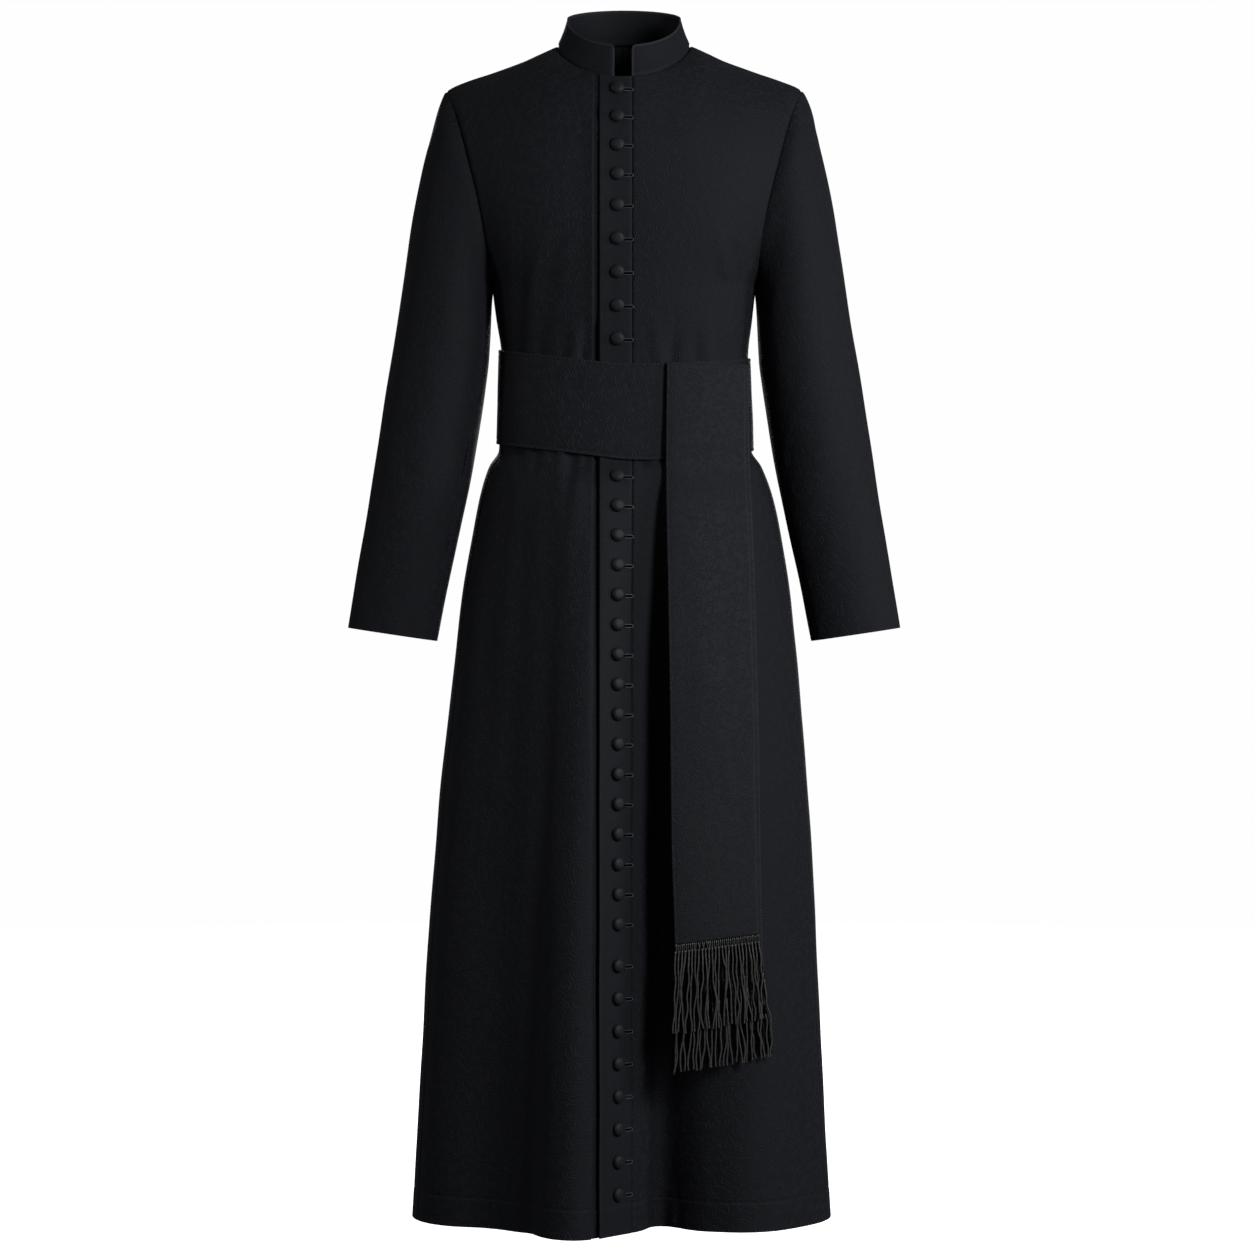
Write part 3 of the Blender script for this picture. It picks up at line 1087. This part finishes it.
def dyed_thread(name, dark, light, per_mm, settings, grooves=None, lustre=None, drawn_out=(1.0, 1.0, 1.0)):
    """Dyed thread: two tones of fibre, so many to a millimetre, drawn out by so much along each way.

    grooves gives the strength and depth between fibres, and lustre the roughness there and on a fibre.
    """
    made, tree, shader = new_finish(name, settings)
    weave = add(tree, "Attribute", attribute_name="weave").outputs["Vector"]
    place = add(tree, "Mapping", {"Vector": weave, "Scale": drawn_out}).outputs[0]
    fibres = add(tree, "TexNoise", {"Vector": place, "Scale": per_mm / MM}).outputs["Fac"]
    shade = add(tree, "Mix", {0: fibres, 6: linear(dark), 7: linear(light)}, data_type="RGBA")
    tree.links.new(shade.outputs[2], shader.inputs["Base Color"])
    if grooves:
        relief = add(tree, "Bump", {"Height": fibres, "Strength": grooves[0], "Distance": grooves[1]})
        tree.links.new(relief.outputs[0], shader.inputs["Normal"])
    if lustre:
        shine = add(tree, "MapRange", {"Value": fibres, "To Min": lustre[0], "To Max": lustre[1]})
        tree.links.new(shine.outputs[0], shader.inputs["Roughness"])
    return made


# Silk buttonhole twist: a bright, tightly plied thread, dyed black. Its gloss makes it paler than the wool.
TWIST_SHINE = {"Roughness": 0.42, "IOR": 1.5}
silk_twist = dyed_thread("silk_buttonhole_twist", "#3A3C41", "#55575E", 0.9, TWIST_SHINE, (0.3, 0.1 * MM))

loops = []
beside = front_place(np.full_like(button_heights, LOOP_MIDDLE), button_heights)
bend = np.radians(np.linspace(90, -90, 9)[1:-1])
straight = np.linspace(LOOP_START, LOOP_END - LOOP_HALF, STRAIGHT_STEPS)
x = np.concatenate([straight, straight[-1] + LOOP_HALF * np.cos(bend), straight[::-1]]) - LOOP_MIDDLE
level = np.full(STRAIGHT_STEPS, LOOP_HALF)
z = np.concatenate([level, LOOP_HALF * np.sin(bend), -level]) - LOOP_DROP
for origin, right, up, outward in zip(*beside):
    loops.append(origin + outward * TWIST_LIFT + x[:, None] * right + z[:, None] * up)
edging = twisted_cords("buttonhole_loops", loops, (0.0, -1.0, 0.0), TWIST_RADIUS, 3.0 * MM, silk_twist)
stands_for(edging, "gown_cloth")

# The slit inside the twist is open a little, and nothing but shadow shows in it.
MATT = {"Roughness": 0.95, "Specular IOR Level": 0.05}
shadow_cloth = dyed_thread("shaded_cloth_in_slit", "#020203", "#060607", 0.5, MATT)
points, faces = [], []
for origin, right, up, outward in zip(*beside):
    first = len(points)
    for half in (SLIT_HALF, -SLIT_HALF):
        for x in np.linspace(LOOP_START, LOOP_END - LOOP_HALF, SLIT_STEPS) - LOOP_MIDDLE:
            at = origin + x * right + (half - LOOP_DROP) * up
            points += [at + outward * SLIT_TOP, at - outward * SLIT_FOOT]
    across = 2 * SLIT_STEPS
    for a in range(first, first + across - 2, 2):
        b = a + across
        faces += [(a, b, b + 2, a + 2), (a + 1, a + 3, b + 3, b + 1)]
        faces += [(a, a + 2, a + 3, a + 1), (b, b + 1, b + 3, b + 2)]
    for a, b in ((first, first + across), (first + 2 * across - 2, first + across - 2)):
        faces.append((a, a + 1, b + 1, b))
points = np.array(points)
slits = solid("buttonhole_slits", points, faces, shadow_cloth, points)
stands_for(slits, "gown_cloth")
cut_from(placket_cut)

# ------------------------------------------------------------------------------------- the hem's stitches
# The hem is felled up by hand, and each stitch catches the face of the cloth in a short prick of thread.
STITCH_SPACING, STITCH_HALF = 4.4 * MM, MM * np.array([0.9, 0.55, 0.35])  # half length, height, thickness
STITCH_SIDES, STITCH_SLANT, STITCH_SUNK = 8, 0.25, 0.2
points, faces = [], []
stitch_draws = random.Random(11)
for line in hem_lines:
    run = run_along(line, 0)
    for station in np.arange(STITCH_SPACING, run[-1] - STITCH_SPACING, STITCH_SPACING):
        centre, near = (Vector(places_on(line, run, at)) for at in (station, station + MM))
        if centre.y < 0 and LAP_LEFT_X - 8 * MM < centre.x < LAP_RIGHT_X:
            continue
        tangent = (near - centre).normalized()
        outward = tangent.cross(Vector((0, 0, 1))).normalized()
        lie = (tangent + Vector((0, 0, stitch_draws.uniform(-STITCH_SLANT, STITCH_SLANT)))).normalized()
        first = len(points)
        for turn in np.linspace(0, 2 * math.pi, STITCH_SIDES, endpoint=False):
            for share, size in ((0.0, 1.0), (0.75, 0.62)):
                flat = lie * math.cos(turn) * STITCH_HALF[0] * size
                tall = Vector((0, 0, 1)) * math.sin(turn) * STITCH_HALF[1] * size
                points.append(centre + flat + tall + outward * STITCH_HALF[2] * (share - STITCH_SUNK))
        points.append(centre + outward * STITCH_HALF[2] * (1 - STITCH_SUNK))
        for k in range(STITCH_SIDES):
            a, b = first + 2 * k, first + 2 * ((k + 1) % STITCH_SIDES)
            faces += [(a, b, b + 1, a + 1), (a + 1, b + 1, first + 2 * STITCH_SIDES)]
        faces.append(tuple(first + 2 * k for k in reversed(range(STITCH_SIDES))))
points = np.array(points)
piece = solid("hem_stitches", points, faces, pressed_worsted, points * (1, 1, 0) + (0, 0, 0.6))
stands_for(piece, "gown_cloth")

# ------------------------------------------------------------------------------------------- the cincture
# The cincture's band is black wool faille, doubled and pressed flat, 11 cm deep. It is wound once round the
# waist, and its outer end lies at the left of the front, beside the falls.
BAND_EASE, BAND_OUT, BAND_CLOTH = 1.2 * MM, 2.2 * MM, 2.0 * MM
BAND_END_DEG, BAND_GAP_DEG = 26.0, 0.9
BAND_STITCH = 4.5 * MM
BAND_RISE_TOP, BAND_RISE_FOOT = 10.5 * MM, 8.5 * MM
BAND_DROOP, DROOP_DEG, DROOP_SPREAD = 3.5 * MM, 22, 34  # its foot sags where the falls hang
BAND_ENDS = MM * np.array([1.0, 1.6, 2.6, 4.0])
near_foot = np.array([0.009, 0.016, 0.026, 0.034, 0.040, 0.046, 0.056])
BAND_LEVELS = np.concatenate([near_foot, np.linspace(0.08, 0.92, 19), 1 - near_foot[::-1]])
BAND_MARKS = table(
    "x     z     x1    z1    width from  to",
    (-140, -408, -60, -416, 8.0, -0.2, -0.7),
    (-60, -416, 30, -420, 8.0, -0.7, -0.2),
    (-146, -446, -90, -448, 9.0, 0.5, 0.1),
    (-70, -470, 20, -474, 7.0, 0.0, -0.6),
    (-20, -440, 44, -446, 9.0, 0.5, 0.2),
    (38, -400, 46, -470, 9.0, 0.0, 0.5),
)


def band_point(angle, share):
    """Points on the band's face, which is straight between its two edges. It rides up at the right side."""
    foot, top = (ring(angle, level, BAND_EASE + BAND_OUT) for level in (WAIST_FOOT, WAIST_TOP))
    at_right = np.maximum(0.0, -np.sin(np.radians(angle))) ** 1.2
    at_end = np.exp(-((((angle - DROOP_DEG + 180) % 360 - 180) / DROOP_SPREAD) ** 2))
    foot[..., 2] += BAND_RISE_FOOT * at_right - BAND_DROOP * at_end
    top[..., 2] += BAND_RISE_TOP * at_right
    return mix(foot, top, share[..., None])


# Wool faille: a plain weave with a fine crosswise rib, a shade brighter than the worsted. The real rib is
# 0.7 mm, and is drawn at 1.8 mm so that it shows.
black_faille = woven("black_wool_faille", "#0E0F13", "#1C1E24", 0.72, 0.22, 1.8, 90.0, 0.90)
grid, from_end, from_start = lay_out(
    band_point,
    BAND_END_DEG + BAND_GAP_DEG,
    BAND_END_DEG - BAND_GAP_DEG + 360,
    BAND_LEVELS,
    BAND_ENDS,
    BAND_ENDS,
    count=220,
)
up = climbed(grid)
from_edge = np.minimum(up, up[-1] - up) + 1.0 * MM
push = creased(grid[..., 0], grid[..., 2], BAND_MARKS) * (grid[..., 1] < 0)
push += stitched(from_edge, BAND_STITCH, drawn_in=0.30 * MM, reach=0.9 * MM, doubled=0.25 * MM)
push += slack(from_end, 2 * up, 0.5 * MM, 1.3)
shaped = pushed(grid, push)
band = cloth_wall("cincture_wrap", shaped, BAND_CLOTH, black_faille, from_end, 11.0, (0.1, 0.15, 0.25, 0.15))
stands_for(band, "cincture_cloth", "cincture_band")
cut_from(shaped)

# ---------------------------------------------------------------------------------------------- the falls
# Two ends of the same faille hang from the band at the left, one over the other. They are hemmed down both
# sides, and stand off the skirt as it falls away behind them.
FALL = table(
    "z       left    right   left_y   right_y",
    (-1.1250, 0.0605, 0.1640, -0.1760, -0.1470),
    (-1.0750, 0.0597, 0.1618, -0.1750, -0.1455),
    (-0.9600, 0.0560, 0.1595, -0.1710, -0.1400),
    (-0.7900, 0.0541, 0.1570, -0.1620, -0.1290),
    (-0.7200, 0.0530, 0.1555, -0.1555, -0.1205),
    (-0.6500, 0.0520, 0.1540, -0.1460, -0.1100),
    (-0.5600, 0.0503, 0.1510, -0.1290, -0.0920),
    (-0.5030, 0.0500, 0.1490, -0.1109, -0.0730),
    (-0.3880, 0.0511, 0.1480, -0.1086, -0.0690),
)
fall = {name: curve(FALL, name) for name in FALL if name != "z"}
FALL_BOW, FALL_TOP, FALL_SLANT, FALL_CLOTH = 1.7, -0.388, 0.0100, 2.0 * MM
FALLS = table("end_z out wider", (-1.0665, 0.0034, -0.0025), (-1.1125, 0.0004, 0.0025))
FALL_STITCH = 3.2 * MM
FALL_EDGES = MM * np.array([1.0, 1.6, 2.4, 3.2, 4.0])
FALL_ROWS = np.concatenate(
    [[0.0015, 0.004, 0.008], np.linspace(0.014, 0.984, 150), [0.9885, 0.992, 0.9952, 0.9985]]
)
TURN_OVER_DEPTH, TURN_OVER_REACH = 1.6 * MM, 5 * MM  # where a fall turns over the band's top edge
FALL_MARKS = {
    "outer": table(
        "x     z     x1    z1    width from  to",
        (70, -500, 130, -512, 9.0, -0.8, -0.2),
        (90, -560, 96, -760, 20.0, 0.5, 1.1),
        (96, -760, 104, -1000, 20.0, 1.1, 0.2),
        (72, -640, 78, -900, 14.0, -0.8, -0.3),
        (128, -620, 134, -880, 14.0, -0.7, -0.3),
    ),
    "inner": table("x z x1 z1 width from to", (90, -600, 100, -1000, 24.0, 0.3, 0.8)),
}


def fall_face(across, z, out, wider):
    """Points on a fall's outer side, by the share of its width from its left edge."""
    left, width = fall["left"](z), fall["right"](z) - fall["left"](z)
    x = left + (width + wider) * across
    y = mix(fall["left_y"](z), fall["right_y"](z), ((x - left) / width) ** FALL_BOW)
    return np.stack([x, y - out, z], axis=-1)


def lower_edge(across, end_z):
    return end_z - FALL_SLANT * (1 - across)


falls = {}
for place, end_z, out, wider in zip(("outer", "inner"), *FALLS.values()):

    def fall_point(across, share):
        return fall_face(across, mix(lower_edge(across, end_z), FALL_TOP, share), out, wider)

    grid, from_left, from_right = lay_out(fall_point, 0.0, 1.0, FALL_ROWS, FALL_EDGES, FALL_EDGES, count=26)
    from_edge = np.minimum(from_left, from_right)
    push = creased(grid[..., 0], grid[..., 2], FALL_MARKS[place])
    push += stitched(from_edge, FALL_STITCH, drawn_in=0.15 * MM, reach=0.7 * MM, doubled=0.1 * MM)
    push += slack(from_left, grid[..., 2], 0.5 * MM, 4.0 if place == "outer" else 4.4)
    push -= TURN_OVER_DEPTH * (1 - ease(below_top(grid) / TURN_OVER_REACH))
    shaped = pushed(grid, push)
    title, rubbed = f"cincture_fall_{place}", (0.2, 0.45, 0.0, 0.2)
    piece = cloth_wall(title, shaped, FALL_CLOTH, black_faille, from_left, 12.0 + end_z, rubbed)
    stands_for(piece, "cincture_cloth", f"fall_{place}")
    falls[place] = (piece, shaped)

# --------------------------------------------------------------------------------------------- the fringes
# Each fall ends in a fringe of two-ply silk cords, 9 cm long, worked out of a stitched heading. They hang
# loosely, lean on their neighbours and cross, and their cut ends are blunt.
FRINGE_CORDS, CORD_RADIUS, CORD_TWIST = 26, 1.10 * MM, 16 * MM
FRINGE_LENGTH, HEADING_DEPTH, HEADING_CLOTH = 0.100, 10.0 * MM, 1.4 * MM
FLARE_LEFT, FLARE_RIGHT = -0.0070, 0.0070  # how far the outermost cords lean
CUT_SLANT = 4.5 * MM  # the cords at the left are longer by this
CORD_TOP = HEADING_DEPTH * 0.8  # a cord starts this far down, behind the stitches
CORD_SHARES = np.linspace(0, 1, 84)
CORD_SPACING = 98 * MM / (FRINGE_CORDS - 1)
CORD_WANDER, CORD_RIPPLE = ((0.7, 2.2), (1.2, 3.0)), ((0.3, 0.9), (3.6, 6.8))  # millimetres, half waves


def swaying(draws, t, depths, half_waves):
    """How far a cord sways aside, by the share of the way down it."""
    depth = draws.uniform(*depths) * MM
    return depth * np.sin(math.pi * draws.uniform(*half_waves) * t + draws.uniform(0, 6.28))


CORDS_IN_A_GROUP = (1, 2, 2, 2, 3)  # how many lean together, a pair being the commonest
LINING_BEHIND, LINING_SHORT, LINING_RADIUS = 2.6 * MM, 4 * MM, 1.7 * CORD_RADIUS
BAR_SPACING, BAR_RADIUS, BAR_TWIST, BAR_LIFT = 2.5 * MM, 0.80 * MM, 4 * MM, 0.1 * MM
BARS_SLANT = (0.25, 0.42)  # the stitches slant one way or the other along this part of the heading
BAR_SLANT, BAR_LEAN = 1.6 * MM, 0.35 * MM  # how far there, and at most elsewhere

# Silk fringe cord: lustrous filament, dyed black, that glints along its plies.
SILK_GLOSS = {"IOR": 1.55, "Specular IOR Level": 0.75}
SILK_GROOVES, SILK_LUSTRE, SILK_GRAIN = (0.35, 0.15 * MM), (0.24, 0.36), (6.0, 6.0, 1.0)
fringe_silk = dyed_thread(
    "silk_fringe_cord", "#2B2B2A", "#4A4A47", 0.26, SILK_GLOSS, SILK_GROOVES, SILK_LUSTRE, SILK_GRAIN
)
# Dull cotton: unglazed carded yarn with no shine at all, dyed as dark as it takes.
dull_cotton = dyed_thread("dull_black_cotton", "#030303", "#080808", 0.7, MATT)

for order, (place, end_z, out, wider) in enumerate(zip(("outer", "inner"), *FALLS.values())):
    draws = random.Random(23 + order)

    def edge_point(across):
        return fall_face(across, lower_edge(across, end_z), out, wider)

    ends = edge_point(np.array([0.0, 1.0]))
    above = fall_face(np.array([0.0, 1.0]), lower_edge(np.array([0.0, 1.0]), end_z) + 0.03, out, wider)
    down = unit((ends - above).mean(axis=0))
    width = np.linalg.norm(ends[1] - ends[0])
    across_it = (ends[1] - ends[0]) / width
    forward = np.cross(across_it, -down)
    forward *= 1 if forward[1] < 0 else -1

    # The heading: a strip under a close row of upright stitches.
    def strip_point(across, share):
        return edge_point(across) + down * (0.2 * MM + HEADING_DEPTH * share[..., None]) - forward * 0.3 * MM

    strip_shares = np.array([1.0, 0.9, 0.5, 0.1, 0.0])
    grid, from_left, _ = lay_out(strip_point, 0.0, 1.0, strip_shares, EDGE, EDGE, count=40)
    heading = cloth_wall(f"fringe_heading_{place}", grid, HEADING_CLOTH, dull_cotton, from_left)
    stands_for(heading, "fringe_silk")
    bars = []
    for share in np.arange(BAR_SPACING / 2, width, BAR_SPACING) / width:
        root = edge_point(np.array(share)) + across_it * draws.uniform(-0.12, 0.12) * MM
        if BARS_SLANT[0] < share < BARS_SLANT[1]:
            lean = draws.choice((-BAR_SLANT, BAR_SLANT))
        else:
            lean = draws.uniform(-BAR_LEAN, BAR_LEAN)
        top = root + forward * BAR_LIFT - down * draws.uniform(-0.6, 0.5) * MM
        bars.append([top + (down * HEADING_DEPTH + across_it * lean) * t for t in np.linspace(0, 1.08, 7)])
    title = f"fringe_stitches_{place}"
    bars = twisted_cords(title, bars, forward, BAR_RADIUS, BAR_TWIST, fringe_silk, 6, (0.6, 0.6))
    stands_for(bars, "fringe_silk")

    # The cords lean together in twos and threes part of the way down. A row of dull cotton hangs behind them.
    groups, left_over = [], FRINGE_CORDS
    while left_over > 0:
        size = min(left_over, draws.choice(CORDS_IN_A_GROUP))
        meet = FRINGE_CORDS - left_over + (size - 1) / 2
        groups += [(meet, draws.uniform(0.2, 0.85), draws.uniform(0.6, 0.95))] * size
        left_over -= size
    rows = {"front": [], "lining": []}
    t = CORD_SHARES
    for row, paths in rows.items():
        behind = row == "lining"
        for k in range(FRINGE_CORDS):
            place_in_row = k / (FRINGE_CORDS - 1)
            share = 0.008 + 0.984 * place_in_row
            root = edge_point(np.array(share)) + down * CORD_TOP
            meet, where, pull = (k, 0.5, 0.0) if behind else groups[k]
            wander, ripple = (swaying(draws, t, *sizes) for sizes in (CORD_WANDER, CORD_RIPPLE))
            together = (meet - k) * CORD_SPACING * pull * np.exp(-(((t - where) / 0.20) ** 2))
            sway = (wander - wander[0]) * t**0.6 + ripple * ease(3 * t) + together
            sway += mix(FLARE_LEFT, FLARE_RIGHT, place_in_row**1.3) * t**0.8
            lift = -LINING_BEHIND + 0 * t if behind else draws.uniform(0.4, 1.6) * MM * ease(4 * t)
            length = FRINGE_LENGTH - CORD_TOP + draws.uniform(-2.0, 1.0) * MM + CUT_SLANT * (1 - share)
            length -= LINING_SHORT if behind else 0.0
            path = root + t[:, None] * length * down + sway[:, None] * across_it
            paths.append(path + lift[:, None] * forward)
    title, paths = f"fringe_lining_{place}", rows["lining"]
    lining = twisted_cords(title, paths, forward, LINING_RADIUS, CORD_TWIST, dull_cotton, 6, (0.8, 0.8))
    stands_for(lining, "fringe_silk")
    title, paths = f"fringe_cords_{place}", rows["front"]
    cords = twisted_cords(title, paths, forward, CORD_RADIUS, CORD_TWIST, fringe_silk, 8, (0.8, 1.25), 0.07)
    stands_for(cords, "fringe_silk", f"fringe_{place}")
    piece, shaped = falls[place]
    cut_from(shaped)

# ---------------------------------------------------------------------------------------------- the studio
# A pale floor a hand's breadth below the hem and a white surround. Three soft lights stand at the wearer's
# left front and a weak one at the right, and two broad ones light the back.
FLOOR_Z, FLOOR_REACH = -1.535, 6.0
bpy.ops.mesh.primitive_circle_add(vertices=96, radius=FLOOR_REACH, fill_type="NGON", location=(0, 0, FLOOR_Z))
floor = bpy.context.object
floor.name = "studio_floor"
floor.visible_diffuse = False
floor.visible_glossy = False
glow = {"Emission Color": linear("#FFFFFF"), "Emission Strength": 1.0}
floor_paint = new_finish("white_studio_floor", {"Base Color": linear("#F4F4F4"), "Roughness": 0.9, **glow})[0]
floor.data.materials.append(floor_paint)

world = bpy.data.worlds.new("white_surround")
bpy.context.scene.world = world
world.use_nodes = True
tree = world.node_tree
seen = add(tree, "Background", {"Color": linear("#FEFEFE"), "Strength": 1.0})
giving = add(tree, "Background", {"Color": linear("#F2F5FF"), "Strength": 0.08})
to_camera = add(tree, "LightPath").outputs["Is Camera Ray"]
either = add(tree, "MixShader", {0: to_camera, 1: giving.outputs[0], 2: seen.outputs[0]})
tree.links.new(either.outputs[0], tree.nodes["World Output"].inputs["Surface"])

LIGHTS = table(
    "x    y     z     width power",
    (1.42, -1.81, 0.35, 0.6, 21.0),
    (1.42, -1.81, -0.20, 0.6, 11.5),
    (2.16, -0.79, -0.20, 0.6, 11.5),
    (-2.63, -0.96, 0.25, 0.6, 8.8),
    (-0.70, 3.40, 0.50, 1.0, 42.0),
    (0.80, 3.40, -0.50, 1.0, 30.0),
)
AIM = Vector((0.0, 0.0, -0.65))
for number, (x, y, z, width, power) in enumerate(zip(*LIGHTS.values()), start=1):
    lamp = bpy.data.lights.new(f"soft_light_{number}", "AREA")
    lamp.shape, lamp.size, lamp.energy = "DISK", width, power
    lamp_object = bpy.data.objects.new(lamp.name, lamp)
    lamp_object.location = (x, y, z)
    lamp_object.rotation_euler = (AIM - lamp_object.location).to_track_quat("-Z", "Y").to_euler()
    bpy.context.scene.collection.objects.link(lamp_object)

# The camera stands 4.6 m in front, level with the middle of the gown, where half its frame is 0.765 m.
CAMERA_PLACE, HALF_FRAME, SENSOR = Vector((0.00366, -4.6, -0.704)), 0.7649, 36.0
camera_data = bpy.data.cameras.new("camera")
camera_data.sensor_width = SENSOR
camera_data.lens = SENSOR / 2 * -CAMERA_PLACE.y / HALF_FRAME
camera = bpy.data.objects.new("camera", camera_data)
camera.location = CAMERA_PLACE
camera.rotation_euler = (math.radians(90), 0, 0)
bpy.context.scene.collection.objects.link(camera)
bpy.context.scene.camera = camera
bpy.context.scene.view_settings.view_transform = "Standard"
